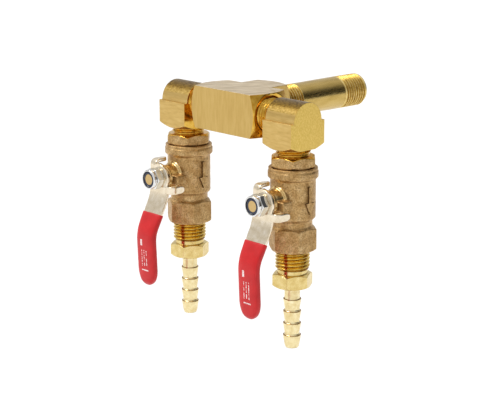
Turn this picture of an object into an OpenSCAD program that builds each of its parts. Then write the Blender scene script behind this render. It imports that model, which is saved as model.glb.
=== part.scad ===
// Hose splitter: a long nipple feeds a tee, and on each side of the tee a street elbow
// turns the flow down through a small ball valve with a lever handle and a hose barb.
// Millimetres. The origin is on the inlet thread's centre line at its hand-tight plane,
// +Y points out of the inlet, +Z is up and the outlets point down.

/* [Pipe threads] */
// Crest diameter of the male pipe threads
thread_d = 13.72; // [13.6:0.01:13.8]
// Distance from one crest to the next
thread_pitch = 1.411; // [1.3:0.001:1.5]
// Depth of the threads
thread_depth = 0.7; // [0.4:0.05:0.8]
// Gap all round between a male thread and its port
thread_gap = 0.04; // [0.02:0.01:0.08]

/* [Inlet nipple] */
// Distance from the tee's centre to the nipple's free end
inlet_reach = 69.5; // [60:0.5:90]
// Length of thread on the free end
inlet_thread = 14.5; // [10:0.5:18]
// Distance from the free end to the hand-tight plane, where a mating port's face comes
hand_tight = 5.8; // [5:0.1:7]
// Bore of the nipple
nipple_bore = 9.25; // [8:0.05:10]

/* [Tee] */
// Length of the tee along the run
tee_length = 37; // [36:0.5:38]
// Depth of the run, front to back
tee_depth = 19; // [18:0.1:20]
// Thickness of the bar that the tee is cut from
tee_thickness = 17.4; // [16.8:0.1:18.4]
// Width of the branch
branch_width = 17.5; // [17:0.1:18.4]
// Distance from the tee's centre to the branch's end
branch_reach = 20.5; // [20:0.5:22]

/* [Elbows] */
// Distance from the tee's centre to each valve's centre line
valve_x = 31; // [31:0.5:34]
// Width of the elbow's block along the run
elbow_width = 15.8; // [15.6:0.1:16.4]
// Depth of the elbow's block, front to back
elbow_depth = 18.4; // [17.6:0.1:20]
// Radius of the elbow's rounded top
elbow_arch_r = 7.6; // [7.4:0.1:8.2]
// Distance from the run's centre line down to the elbow's lower face
elbow_drop = 11.2; // [10.8:0.1:12]

/* [Valves] */
// Width across flats of the valve's two hexagons
valve_hex = 17; // [16.6:0.1:18]
// Radius of the valve's barrel
barrel_r = 9; // [8.8:0.1:9.6]
// Height of the stem's centre line
stem_z = -31; // [-31.5:0.1:-30.5]
// Diameter of the ball
ball_d = 12.7; // [12.5:0.1:12.8]
// Diameter of the way through the ball
port_d = 7; // [6:0.1:7.2]
// Diameter of the stem's shaft
stem_d = 6; // [5.6:0.1:6.2]

/* [Handles] */
// Thickness of the handle's steel strip
strip_t = 1.6; // [1.2:0.1:1.8]
// Width of the strip below the stem
strip_w = 11; // [10:0.1:11.2]
// Angle at which the strip leans away from the valve
lean = 27; // [22:1:30]
// Thickness of the vinyl sleeve
sleeve_t = 3.5; // [3.2:0.1:4]
// Width of the vinyl sleeve below its knee
sleeve_w = 10.6; // [10.6:0.1:12]

/* [Hose barbs] */
// Largest diameter of the barbs
barb_d = 7.2; // [6.8:0.1:7.6]
// Number of barbs on each outlet
barb_count = 4; // [3:1:4]
// Distance from one barb to the next
barb_pitch = 5.03; // [4.6:0.01:5.03]
// Way through the barb
barb_bore = 4.6; // [4:0.1:5]
// Width across flats of the barb's hexagon
barb_hex = 14.29; // [14:0.01:15]

/* [Hidden] */
$fn = 96;
left = -1;
right = 1;
eps = 0.01;

// Threads
thread_r = thread_d / 2;
port_r = thread_r + thread_gap;
run_passage_r = 4.5;
chamfer_slope = tan(30);

// Tee and nipple
tee_half = tee_length / 2;
tee_port_depth = 9.2;
tee_face_r = 8.9;
nipple_start = branch_reach - 11;
nipple_near_thread = 21.5;

// Elbow
elbow_thread_start = tee_half - 9;
elbow_port_depth = 7.6;

// Valve, by height. The body's parts are measured from the run's centre line.
tail_top = -4.5;
tail_hex_top = -14;
body_top = -18.5;
tail_end = stem_z + 6.6;
ring_r = barrel_r + 1;
lower_pocket = stem_z - 6.6;
neck_top = -39.9;
neck_r = 7.75;
body_hex_top = -42.5;
body_end = -52.3;
ball_r = ball_d / 2;
chamber_r = ball_r + 0.15;
seat_gap = 0.1;
seat_r = chamber_r - 0.05;
seat_h = 2.6;
tail_r = 7.9;

// Stem and boss, as distances out from the valve's centre line
tongue_s = 4.7;
tongue_t = 2;
collar_s = 6.8;
washer_s = 8.2;
shoulder_s = 8.8;
boss_s = 14.5;
plate_s = 15.4;
nut_s = plate_s + strip_t;
nut_top_s = nut_s + 5.4;
stem_end_s = nut_top_s - 0.4;
boss_r = 4.85;
stem_r = stem_d / 2;
stem_collar_r = stem_r + 0.6;
stem_thread_r = 2.45;
stem_chamfer = 0.25;
insert_r = 3.2;
insert_depth = 1.8;
insert_top_s = nut_top_s - 0.4;
flat_half = 1.75;
ring_groove_s = 11.2;
ring_section_r = 0.55;
boss_collar_r = 5.85;
boss_collar_s = 9.3;
lug_top = 1.3;
lug_bottom = -2.65;
lug_reach = 8.2;
lug_back_s = 8.6;
lug_front_s = 13.4;
stop_gap = 0.25;

// Handle
bend_z = stem_z - 7.5;
knee_z = stem_z - 22.5;
tip_z = stem_z - 45;
sleeve_top_z = stem_z - 14;
tab_end_s = 10.4;
upper_tab_w = 3.5;
upper_tab_reach = 6.7;
lower_tab_w = 3.2;
lower_tab_reach = 8.1;
bend_r = 14;
strip_s = plate_s + strip_t / 2;
knee_s = strip_s + (bend_z - knee_z) * tan(lean);
tip_s = knee_s - 1;

// Barb
barb_inner_end = -43.2;
barb_relief = -60;
relief_r = 6.1;
barb_hex_top = -61.5;
barb_hex_end = -67.35;
first_barb = -72.4;
barb_tip = first_barb - (barb_count - 1) * barb_pitch - 5.3;
barb_land = 0.5;
neck_barb_r = 3.1;

// Outline points [radius, height] of a ringed thread from its free end z0 up to z1
function thread_outline(r, z0, z1) =
    let (rings = floor((z1 - z0 - 1) / thread_pitch))
    concat(
        [[r - 1, z0], [r, z0 + 1]],
        [for (i = [0:rings - 1]) let (z = z1 - (rings - i) * thread_pitch) each [
            [r, z],
            [r - thread_depth, z + thread_pitch * 0.35],
            [r - thread_depth, z + thread_pitch * 0.5],
            [r, z + thread_pitch * 0.85]
        ]],
        [[r, z1]]
    );

// The same for a thread of the full radius whose free end is the upper one, z1
function thread_up(z0, z1) =
    let (q = thread_outline(thread_r, 0, z1 - z0))
    [for (i = [len(q) - 1:-1:0]) [q[i][0], z1 - q[i][1]]];

// Points of an arc of radius r that rounds the corner b of the path a-b-c
function corner_arc(a, b, c, r) =
    let (
        u = (a - b) / norm(a - b),
        v = (c - b) / norm(c - b),
        half = acos(u * v) / 2,
        centre = b + (u + v) / norm(u + v) * r / sin(half),
        from = b + u * r / tan(half) - centre,
        to = b + v * r / tan(half) - centre,
        start = atan2(from[1], from[0]),
        turn = (atan2(to[1], to[0]) - start + 540) % 360 - 180
    )
    [for (i = [0:8]) centre + r * [cos(start + turn * i / 8), sin(start + turn * i / 8)]];

// A path with each inner corner rounded to radius r
function rounded_path(p, r) = concat(
    [p[0]],
    [for (i = [1:len(p) - 2]) each corner_arc(p[i - 1], p[i], p[i + 1], r)],
    [p[len(p) - 1]]
);

// Direction across the path at its point i
function across(p, i) =
    let (
        d = p[min(i + 1, len(p) - 1)] - p[max(i - 1, 0)],
        n = d / norm(d)
    )
    [-n[1], n[0]];

// Outline of a strip of thickness t along a path
function strip_outline(p, t) = concat(
    [for (i = [0:len(p) - 1]) p[i] + across(p, i) * t / 2],
    [for (i = [len(p) - 1:-1:0]) p[i] - across(p, i) * t / 2]
);

// Side view of the handle, as [distance out, height]
lever_path = rounded_path([[strip_s, stem_z], [strip_s, bend_z], [knee_s, knee_z], [tip_s, tip_z]], bend_r);

module from_tee() {
    translate([0, hand_tight - inlet_reach, 0]) children();
}

module at_valve(side) {
    from_tee() translate([side * valve_x, 0, 0]) children();
}

// Stands children, drawn along +Z, on the stem's centre line so that they point forward
module along_stem(side) {
    at_valve(side) translate([0, 0, stem_z]) rotate([90, 0, 0]) children();
}

// Solid of revolution from an outline on the right of the Z axis
module turned(outline) {
    rotate_extrude() polygon(outline);
}

module bore(r, z0, z1) {
    translate([0, 0, z0]) cylinder(r = r, h = z1 - z0);
}

// Hexagonal nut blank with both ends turned to a cone
module hexagon(flats, z0, z1) {
    corner_r = flats / sqrt(3);
    edge = (corner_r - flats / 2 + 0.35) * chamfer_slope;
    intersection() {
        translate([0, 0, z0]) cylinder(r = corner_r, h = z1 - z0, $fn = 6);
        turned([
            [0, z0], [flats / 2 - 0.35, z0], [corner_r, z0 + edge],
            [corner_r, z1 - edge], [flats / 2 - 0.35, z1], [0, z1]
        ]);
    }
}

// What is turned away from a square end at height 0 to leave a flat ring of radius r
module end_chamfer(r) {
    turned([[r, eps], [r + 5, eps], [r + 5, -5 * chamfer_slope], [r, 0]]);
}

// Female port that opens at height 0, with a countersink
module port(depth) {
    turned([
        [0, -depth], [port_r, -depth], [port_r, -0.8], [port_r + 0.8, 0],
        [port_r + 0.8, eps], [0, eps]
    ]);
}

// Extrudes an outline in [distance out, height] across the handle, from x0 to x1
module side_view(outline, x0, x1) {
    translate([x0, 0, 0]) rotate([90, 0, 90]) linear_extrude(x1 - x0)
        polygon([for (q = outline) [-q[0], q[1]]]);
}

// Extrudes a front view [x, height] through the whole depth of the handle
module front_view() {
    rotate([90, 0, 0]) linear_extrude(40) children();
}

module tee() {
    color("goldenrod") from_tee() difference() {
        union() {
            cube([tee_length, tee_depth, tee_thickness], center = true);
            translate([-branch_width / 2, 0, -tee_thickness / 2])
                cube([branch_width, branch_reach, tee_thickness]);
        }
        for (a = [90, -90]) rotate([0, a, 0]) translate([0, 0, tee_half]) end_chamfer(tee_face_r);
        rotate([-90, 0, 0]) translate([0, 0, branch_reach]) end_chamfer(branch_width / 2 + 0.15);
        for (a = [90, -90]) rotate([0, a, 0]) translate([0, 0, tee_half]) port(tee_port_depth);
        rotate([-90, 0, 0]) translate([0, 0, branch_reach]) port(11.2);
        rotate([0, 90, 0]) bore(run_passage_r, -tee_half, tee_half);
        rotate([-90, 0, 0]) bore(run_passage_r, 0, branch_reach);
    }
}

module inlet_nipple() {
    near_end = nipple_start;
    far_end = inlet_reach;
    plain_r = thread_r - 0.17;
    color("darkkhaki") from_tee() rotate([-90, 0, 0]) difference() {
        turned(concat(
            [[0, near_end]],
            thread_outline(plain_r, near_end, near_end + nipple_near_thread),
            [[plain_r, near_end + nipple_near_thread], [plain_r, far_end - inlet_thread]],
            thread_up(far_end - inlet_thread, far_end),
            [[0, far_end]]
        ));
        bore(nipple_bore / 2, near_end - eps, far_end + eps);
    }
}

module elbow(side) {
    half_w = elbow_width / 2;
    inner = valve_x - half_w;
    outer = valve_x + half_w;
    color("darkgoldenrod") from_tee() mirror([side < 0 ? 1 : 0, 0, 0]) difference() {
        union() {
            rotate([0, 90, 0]) turned(concat(
                [[0, elbow_thread_start]],
                thread_outline(thread_r, elbow_thread_start, inner),
                [[elbow_arch_r, inner], [elbow_arch_r, outer], [0, outer]]
            ));
            difference() {
                translate([inner, -elbow_depth / 2, -elbow_drop])
                    cube([elbow_width, elbow_depth, elbow_drop]);
                translate([valve_x, 0, -elbow_drop]) rotate([180, 0, 0]) end_chamfer(8.8);
            }
        }
        translate([valve_x, 0, -elbow_drop]) rotate([180, 0, 0]) port(elbow_port_depth);
        translate([valve_x, 0, 0]) bore(run_passage_r, -elbow_drop, 0);
        translate([valve_x, 0, 0]) sphere(r = run_passage_r);
        rotate([0, 90, 0]) bore(run_passage_r, elbow_thread_start - eps, valve_x);
    }
}

module tailpiece(side) {
    color("peru") at_valve(side) difference() {
        union() {
            turned(concat(
                [[0, tail_end], [tail_r, tail_end], [tail_r, body_top], [thread_r - 1, body_top]],
                [[thread_r - 1, tail_hex_top]],
                thread_up(tail_hex_top, tail_top),
                [[0, tail_top]]
            ));
            rotate(-45) hexagon(valve_hex, body_top, tail_hex_top);
        }
        bore(port_d / 2 + 0.5, tail_end - eps, tail_top + eps);
    }
}

module valve_body(side) {
    color("tan") difference() {
        union() {
            at_valve(side) turned([
                [0, body_hex_top - 1], [neck_r, body_hex_top - 1], [neck_r, neck_top],
                [barrel_r, neck_top + 1.3], [barrel_r, -23.3], [ring_r, -22.4], [ring_r, -20.1],
                [ring_r - 0.5, -19.8], [ring_r - 0.25, -19.5], [ring_r - 0.25, body_top],
                [0, body_top]
            ]);
            at_valve(side) rotate(30) hexagon(valve_hex, body_end, body_hex_top);
            along_stem(side) bore(boss_r, 0, boss_s);
            along_stem(side) bore(boss_collar_r, 0, boss_collar_s);
            along_stem(side) stop_lug();
        }
        at_valve(side) bore(tail_r + 0.05, tail_end, body_top + eps);
        at_valve(side) bore(chamber_r, lower_pocket, tail_end + eps);
        at_valve(side) bore(port_d / 2, body_end, lower_pocket + eps);
        at_valve(side) translate([0, 0, body_end]) rotate([180, 0, 0]) port(9.8);
        along_stem(side) bore(stem_r + 0.05, 0, boss_s + eps);
        along_stem(side) bore(stem_collar_r + 0.15, 0, shoulder_s);
    }
}

// Lug that the handle's two tabs run up against, drawn around the stem's centre line
module stop_lug() {
    translate([boss_r - 1.5, lug_bottom, lug_back_s])
        cube([lug_reach - boss_r + 1.5, lug_top - lug_bottom, lug_front_s - lug_back_s]);
}

// Seat ring that bears on the ball, above it (way = 1) or below it (way = -1)
module seat(side, way) {
    color("white") at_valve(side) translate([0, 0, stem_z]) mirror([0, 0, way < 0 ? 1 : 0]) difference() {
        translate([0, 0, tail_end - stem_z - seat_h]) cylinder(r = seat_r, h = seat_h);
        bore(port_d / 2 + 0.1, 0, ball_d);
        sphere(r = ball_r + seat_gap);
    }
}

module ball(side) {
    color("silver") at_valve(side) translate([0, 0, stem_z]) difference() {
        sphere(r = ball_r);
        bore(port_d / 2, -ball_d, ball_d);
        translate([-ball_r, -ball_d - tongue_s + 0.2, -tongue_t / 2 - 0.1])
            cube([ball_d, ball_d, tongue_t + 0.2]);
    }
}

module stem(side) {
    color("khaki") along_stem(side) difference() {
        union() {
            intersection() {
                bore(stem_r, tongue_s, collar_s + eps);
                translate([-stem_r, -tongue_t / 2, tongue_s]) cube([stem_d, tongue_t, stem_d]);
            }
            bore(stem_collar_r, collar_s, washer_s);
            bore(stem_r, washer_s - eps, plate_s);
            intersection() {
                bore(stem_thread_r, plate_s - eps, nut_s + eps);
                translate([-stem_r, -flat_half, 0]) cube([stem_d, 2 * flat_half, 2 * plate_s]);
            }
            turned([
                [0, nut_s], [stem_thread_r, nut_s], [stem_thread_r, stem_end_s - stem_chamfer],
                [stem_thread_r - stem_chamfer, stem_end_s], [0, stem_end_s]
            ]);
        }
        difference() {
            bore(stem_r + 1, ring_groove_s - 0.7, ring_groove_s + 0.7);
            bore(stem_r - 1.15, 0, plate_s);
        }
    }
}

module thrust_washer(side) {
    color("ivory") along_stem(side) difference() {
        bore(stem_collar_r, washer_s, shoulder_s - 0.02);
        bore(stem_r + 0.05, 0, plate_s);
    }
}

module stem_o_ring(side) {
    color("dimgray") along_stem(side) translate([0, 0, ring_groove_s]) rotate_extrude()
        translate([stem_r - ring_section_r, 0]) circle(r = ring_section_r, $fn = 48);
}

// Front outline of the steel strip below the stem, narrower by less and ending at end_z.
// It keeps its width down to the sleeve and narrows inside it, as far as the knee.
module strip_front(less, end_z) {
    half = strip_w / 2 - less;
    low = half - 1.2;
    translate([0, end_z + low]) circle(r = low);
    polygon([[-half, stem_z], [-half, sleeve_top_z], [-low, knee_z], [-low, end_z + low],
             [low, end_z + low], [low, knee_z], [half, sleeve_top_z], [half, stem_z]]);
}

module handle_strip(t, less, end_z) {
    intersection() {
        side_view(strip_outline(lever_path, t), -sleeve_w, sleeve_w);
        front_view() strip_front(less, end_z);
    }
}

// Tab of width w that starts at c0 across the plate, stands out by reach and turns back to
// the valve
module stop_tab(c0, w, reach) {
    path = rounded_path([[strip_s, 2], [strip_s, reach], [tab_end_s, reach]], 2);
    translate([c0, 0, 0]) rotate([90, 0, 90]) linear_extrude(w)
        polygon([for (q = strip_outline(path, strip_t)) [-q[0], q[1]]]);
}

module handle_lever(side) {
    color("lightgray") difference() {
        union() {
            along_stem(side) bore(6, plate_s, nut_s);
            at_valve(side) handle_strip(strip_t, 0, tip_z + 1.7);
            at_valve(side) translate([0, 0, stem_z])
                stop_tab(-lug_top - stop_gap - upper_tab_w, upper_tab_w, upper_tab_reach);
            at_valve(side) translate([0, 0, stem_z]) rotate([0, 90, 0])
                stop_tab(stop_gap - lug_bottom, lower_tab_w, lower_tab_reach);
        }
        along_stem(side) intersection() {
            bore(stem_thread_r + 0.05, 0, nut_s + eps);
            translate([-stem_r, -flat_half - 0.05, 0])
                cube([stem_d, 2 * flat_half + 0.1, nut_s + eps]);
        }
    }
}

module handle_sleeve(side) {
    tip_half = sleeve_w / 2;
    mouth_half = strip_w / 2 + 0.4;
    tip_run = 7;
    color("crimson") at_valve(side) difference() {
        intersection() {
            side_view(strip_outline(lever_path, sleeve_t), -sleeve_w, sleeve_w);
            front_view() polygon(concat(
                [[tip_half, knee_z], [mouth_half, sleeve_top_z]],
                [[-mouth_half, sleeve_top_z], [-tip_half, knee_z]],
                [for (a = [180:7.5:360]) [tip_half * cos(a), tip_z + tip_run * (1 + sin(a))]]
            ));
        }
        handle_strip(strip_t + 0.1, -0.05, tip_z + 1.6);
    }
}

module handle_nut(side) {
    color("gainsboro") along_stem(side) difference() {
        union() {
            hexagon(8, nut_s, nut_s + 3.7);
            turned([
                [0, nut_s + 1], [4, nut_s + 1], [4, nut_top_s - 0.8], [3.6, nut_top_s], [0, nut_top_s]
            ]);
        }
        bore(stem_thread_r + 0.05, 0, nut_top_s);
        bore(insert_r + 0.05, nut_top_s - insert_depth, nut_top_s + eps);
    }
}

module nut_insert(side) {
    color("midnightblue") along_stem(side) difference() {
        bore(insert_r, nut_top_s - insert_depth, insert_top_s);
        bore(stem_thread_r + 0.03, 0, nut_top_s);
    }
}

module hose_barb(side) {
    lower_r = barb_d / 2 - 0.6;
    color("khaki") at_valve(side) difference() {
        union() {
            turned(concat(
                [[0, barb_tip], [lower_r - 0.4, barb_tip]],
                [for (i = [barb_count - 1:-1:0]) let (z = first_barb - i * barb_pitch) each [
                    [lower_r, z - barb_pitch + 0.6],
                    [barb_d / 2, z - barb_land],
                    [barb_d / 2, z],
                    [neck_barb_r, z]
                ]],
                [[neck_barb_r, barb_hex_end], [relief_r, barb_hex_end], [relief_r, barb_relief]],
                thread_up(barb_relief, barb_inner_end),
                [[0, barb_inner_end]]
            ));
            hexagon(barb_hex, barb_hex_end, barb_hex_top);
        }
        bore(barb_bore / 2, barb_tip - eps, barb_inner_end + eps);
        bore(port_d / 2, barb_relief, barb_inner_end + eps);
    }
}

tee();
inlet_nipple();
elbow(left);  // left_elbow
elbow(right);  // right_elbow
valve_body(left);  // left_valve_body
valve_body(right);  // right_valve_body
tailpiece(left);  // left_tailpiece
tailpiece(right);  // right_tailpiece
seat(left, 1);  // left_upper_seat
seat(right, 1);  // right_upper_seat
seat(left, -1);  // left_lower_seat
seat(right, -1);  // right_lower_seat
ball(left);  // left_ball
ball(right);  // right_ball
stem(left);  // left_stem
stem(right);  // right_stem
thrust_washer(left);  // left_thrust_washer
thrust_washer(right);  // right_thrust_washer
stem_o_ring(left);  // left_stem_o_ring
stem_o_ring(right);  // right_stem_o_ring
handle_lever(left);  // left_handle_lever
handle_lever(right);  // right_handle_lever
handle_sleeve(left);  // left_handle_sleeve
handle_sleeve(right);  // right_handle_sleeve
handle_nut(left);  // left_handle_nut
handle_nut(right);  // right_handle_nut
nut_insert(left);  // left_nut_insert
nut_insert(right);  // right_nut_insert
hose_barb(left);  // left_hose_barb
hose_barb(right);  // right_hose_barb
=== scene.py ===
import math

import bmesh
import bpy
from mathutils import Matrix, Vector, noise


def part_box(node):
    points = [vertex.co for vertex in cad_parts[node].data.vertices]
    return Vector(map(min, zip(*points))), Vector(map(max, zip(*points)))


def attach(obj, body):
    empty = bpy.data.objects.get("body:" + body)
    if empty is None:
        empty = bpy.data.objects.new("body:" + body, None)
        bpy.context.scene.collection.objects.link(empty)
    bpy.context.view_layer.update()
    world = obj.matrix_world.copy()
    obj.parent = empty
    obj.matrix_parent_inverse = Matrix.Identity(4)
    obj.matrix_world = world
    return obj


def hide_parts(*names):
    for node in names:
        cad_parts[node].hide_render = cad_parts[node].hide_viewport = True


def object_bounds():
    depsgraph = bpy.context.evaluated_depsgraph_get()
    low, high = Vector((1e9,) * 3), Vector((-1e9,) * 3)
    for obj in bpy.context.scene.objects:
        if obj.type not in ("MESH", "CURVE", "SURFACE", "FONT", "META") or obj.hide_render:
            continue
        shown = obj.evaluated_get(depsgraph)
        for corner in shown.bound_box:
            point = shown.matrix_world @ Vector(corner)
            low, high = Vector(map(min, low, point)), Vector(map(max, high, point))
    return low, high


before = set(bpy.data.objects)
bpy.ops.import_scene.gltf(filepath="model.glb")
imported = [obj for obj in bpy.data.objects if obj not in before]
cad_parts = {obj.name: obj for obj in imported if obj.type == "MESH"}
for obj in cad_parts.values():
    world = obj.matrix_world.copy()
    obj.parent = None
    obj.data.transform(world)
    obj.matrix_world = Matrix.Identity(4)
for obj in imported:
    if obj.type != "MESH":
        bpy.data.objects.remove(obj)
cad_low, cad_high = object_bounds()

# Pieces are drawn in millimetres around the tee's centre, with Z up. They are scaled to
# metres and moved to the part's own frame as they are made.
MM = 0.001
SIDES = (("left", -1), ("right", 1))
port_low, port_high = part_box("left_elbow")
TEE_CENTRE = Vector((0, (port_low[1] + port_high[1]) / 2, 0))


def span(node):
    """Lowest and highest corner of a CAD node, in millimetres from the tee's centre."""
    return [(Vector(corner) - TEE_CENTRE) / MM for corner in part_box(node)]


# ---------------------------------------------------------------------------------------
# Sizes that the frame gives, and the details that it doesn't
# ---------------------------------------------------------------------------------------
THREAD_R = 6.86  # over the crests of the pipe thread
PIPE_R = 6.69  # over the crests of the nipple's near thread, which runs out smaller
PITCH = 1.411
THREAD_DEPTH = 0.72
PORT_R = 6.9  # female pipe ports
PASSAGE_R = 4.5  # waterway through tee and elbows
CONE = math.tan(math.radians(30))  # turned ends of hexagons and bar
COLUMNS = 72  # round every turned piece

tee_low, tee_high = span("tee")
elbow_low, elbow_high = span("right_elbow")
nipple_low, nipple_high = span("inlet_nipple")
tail_low, tail_high = span("right_tailpiece")
body_low, body_high = span("right_valve_body")
barb_low, barb_high = span("right_hose_barb")
stem_low, stem_high = span("right_stem")
lever_high = span("right_handle_lever")[1]
sleeve_low, sleeve_high = span("right_handle_sleeve")
nut_low, nut_high = span("right_handle_nut")

VALVE_X = (barb_low.x + barb_high.x) / 2
STEM_Z = (stem_low.z + stem_high.z) / 2
BARREL_R = 9.0
RING_R = body_high.x - VALVE_X
BODY_TOP = body_high.z
BODY_END = body_low.z
BODY_HEX_TOP = -42.5
TAIL_HEX_TOP = -14.0
VALVE_HEX = 17.0  # across flats
SOCKET_R = 7.9  # smooth joint between tailpiece and body
STEM_R = 2.5  # threaded end of the stem
STRIP_T = 1.6
PLATE_S = -nut_high.y - STRIP_T
TAB_END = -lever_high.y

# The handle's strip in side view. s is the distance out from the valve's centre line.
STRIP_S = PLATE_S + STRIP_T / 2
BEND_Z, KNEE_Z, TIP_Z = STEM_Z - 7.5, STEM_Z - 22.5, sleeve_low.z
KNEE_S = STRIP_S + (BEND_Z - KNEE_Z) * math.tan(math.radians(27))
LEVER_ROUTE = [(STRIP_S, STEM_Z + 6.0), (STRIP_S, BEND_Z), (KNEE_S, KNEE_Z), (KNEE_S - 1.0, TIP_Z)]
PLATE_R = 6.0  # round head of the lever
BEND_R = 14.0
STRIP_HALF = 5.5  # half the lever's width
STRIP_TAPER = 1.2  # what that half loses by the knee
STRIP_SHORT = 1.9  # the strip stops this far inside the sleeve's tip
STRIP_ROUND = 4.3  # length over which the strip's end is rounded


# ---------------------------------------------------------------------------------------
# Mesh building
# ---------------------------------------------------------------------------------------
MERGE = 1e-4  # millimetres between points that are taken to be one
BEVEL_LIMIT = 27  # degrees over which an edge is rounded


class Thread:
    """Rows of a helical thread between heights z0 and z1. A lead turns that end down to a
    plain circle inside the root, and a fade lets the groove run out at full radius. The
    profile is one turn's section: (share of the pitch, share of the depth)."""

    profile = (
        (0.0, 0.0), (0.07, 0.0), (0.12, 0.1), (0.37, 0.9), (0.42, 1.0),
        (0.58, 1.0), (0.63, 0.9), (0.88, 0.1), (0.93, 0.0),
    )

    def __init__(self, crest, z0, z1, lead0=0.0, lead1=0.0, fade0=0.0, fade1=0.0):
        turns = math.ceil((z1 - z0) / PITCH) + 2
        self.shift = len(self.profile)
        self.rows = []
        inside = crest - 1.0
        for k in range(turns * self.shift + 1):
            part, depth = self.profile[k % self.shift]
            row = []
            for i in range(COLUMNS):
                z = z0 + PITCH * (k // self.shift + part + i / COLUMNS - 1)
                z = min(max(z, z0), z1)
                cut = THREAD_DEPTH * depth
                if fade0:
                    cut *= min(1.0, (z - z0) / fade0)
                if fade1:
                    cut *= min(1.0, (z1 - z) / fade1)
                r = crest - cut
                if lead0:
                    r = min(r, inside + (z - z0) / lead0)
                if lead1:
                    r = min(r, inside + (z1 - z) / lead1)
                row.append((r, z))
            self.rows.append(row)


def hex_radius(flats, i):
    """Radius of a hexagon at column i, with a corner at column 0."""
    per_side = COLUMNS // 6
    return flats / 2 / math.cos(math.radians(60 * (i % per_side) / per_side - 30))


def hexagon(flats, z0, z1, turned=0.35):
    """Rows of a hexagon whose two ends are turned to a cone."""
    start = flats / 2 - turned
    radii = [hex_radius(flats, i) for i in range(COLUMNS)]
    return [
        (start, z0),
        [(r, z0 + (r - start) * CONE) for r in radii],
        [(r, z1 - (r - start) * CONE) for r in radii],
        (start, z1),
    ]


def welded(bm):
    bmesh.ops.remove_doubles(bm, verts=bm.verts, dist=MERGE)
    bmesh.ops.recalc_face_normals(bm, faces=bm.faces)
    return bm


def revolve(rows, first_angle=0.0, closed=True):
    """Closed skin through rows of (radius, height). A row is one pair, a list with a pair
    for each column, or a Thread. closed joins the last row to the first, and otherwise
    both ends are capped."""
    bm = bmesh.new()
    rings = []
    for row in rows:
        thread = isinstance(row, Thread)
        for pairs in row.rows if thread else [row if isinstance(row, list) else [row] * COLUMNS]:
            ring = []
            for i, (r, z) in enumerate(pairs):
                a = first_angle + math.tau * i / COLUMNS
                ring.append(bm.verts.new((r * math.cos(a), r * math.sin(a), z)))
            rings.append((ring, row.shift if thread else 0, row))
    count = len(rings)
    for k in range(count if closed else count - 1):
        a, shift, owner = rings[k]
        b, _, other = rings[(k + 1) % count]
        for i in range(COLUMNS - 1):
            bm.faces.new((a[i], a[i + 1], b[i + 1], b[i]))
        if not shift or owner is not other:
            bm.faces.new((a[-1], a[0], b[0], b[-1]))
        elif k + 1 + shift < count and rings[k + 1 + shift][2] is owner:
            bm.faces.new((a[-1], rings[k + shift][0][0], rings[k + 1 + shift][0][0], b[-1]))
    if not closed:
        bm.faces.new(rings[0][0][::-1])
        bm.faces.new(rings[-1][0])
    return welded(bm)


def loft(loops):
    """Closed skin through loops of points, with both ends capped."""
    bm = bmesh.new()
    rings = [[bm.verts.new(p) for p in loop] for loop in loops]
    n = len(loops[0])
    for a, b in zip(rings, rings[1:]):
        for i in range(n):
            bm.faces.new((a[i], a[(i + 1) % n], b[(i + 1) % n], b[i]))
    bm.faces.new(rings[0][::-1])
    bm.faces.new(rings[-1])
    return welded(bm)


def prism(outline, x0, x1):
    """Outline in (y, z) drawn out along X."""
    return loft([[(x, y, z) for y, z in outline] for x in (x0, x1)])


def turn(bm, axis, degrees):
    bmesh.ops.transform(bm, verts=bm.verts, matrix=Matrix.Rotation(math.radians(degrees), 4, axis))
    return bm


def move(bm, x=0.0, y=0.0, z=0.0):
    bmesh.ops.translate(bm, verts=bm.verts, vec=(x, y, z))
    return bm


def flip_x(bm):
    """Mirror image across the plane between the two sides."""
    bmesh.ops.transform(bm, verts=bm.verts, matrix=Matrix.Scale(-1, 4, (1, 0, 0)))
    bmesh.ops.reverse_faces(bm, faces=bm.faces)
    return bm


def as_object(bm, name):
    """A linked object that holds bm, which is used up."""
    mesh = bpy.data.meshes.new(name)
    bm.to_mesh(mesh)
    bm.free()
    obj = bpy.data.objects.new(name, mesh)
    bpy.context.collection.objects.link(obj)
    return obj


def discard(obj):
    mesh = obj.data
    bpy.data.objects.remove(obj)
    bpy.data.meshes.remove(mesh)


def applied(obj):
    """The mesh of an object with its modifiers applied. The object itself is removed."""
    bm = bmesh.new()
    bm.from_object(obj, bpy.context.evaluated_depsgraph_get())
    discard(obj)
    return bm


def combine(bm, other, operation):
    """bm after a boolean with another closed mesh: UNION or DIFFERENCE."""
    base, tool = as_object(bm, "base"), as_object(other, "tool")
    cut = base.modifiers.new("cut", "BOOLEAN")
    cut.object, cut.operation, cut.solver = tool, operation, "MANIFOLD"
    result = applied(base)
    discard(tool)
    bmesh.ops.remove_doubles(result, verts=result.verts, dist=MERGE)
    bmesh.ops.dissolve_degenerate(result, edges=result.edges, dist=MERGE)
    return result


def remeshed(bm, voxel, smooth):
    """bm as an even skin of small quads, with its edges softened as a casting's are."""
    obj = as_object(bm, "cast")
    even = obj.modifiers.new("even", "REMESH")
    even.mode, even.voxel_size = "VOXEL", voxel
    soft = obj.modifiers.new("soft", "SMOOTH")
    soft.factor, soft.iterations = 0.5, smooth
    return applied(obj)


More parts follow.
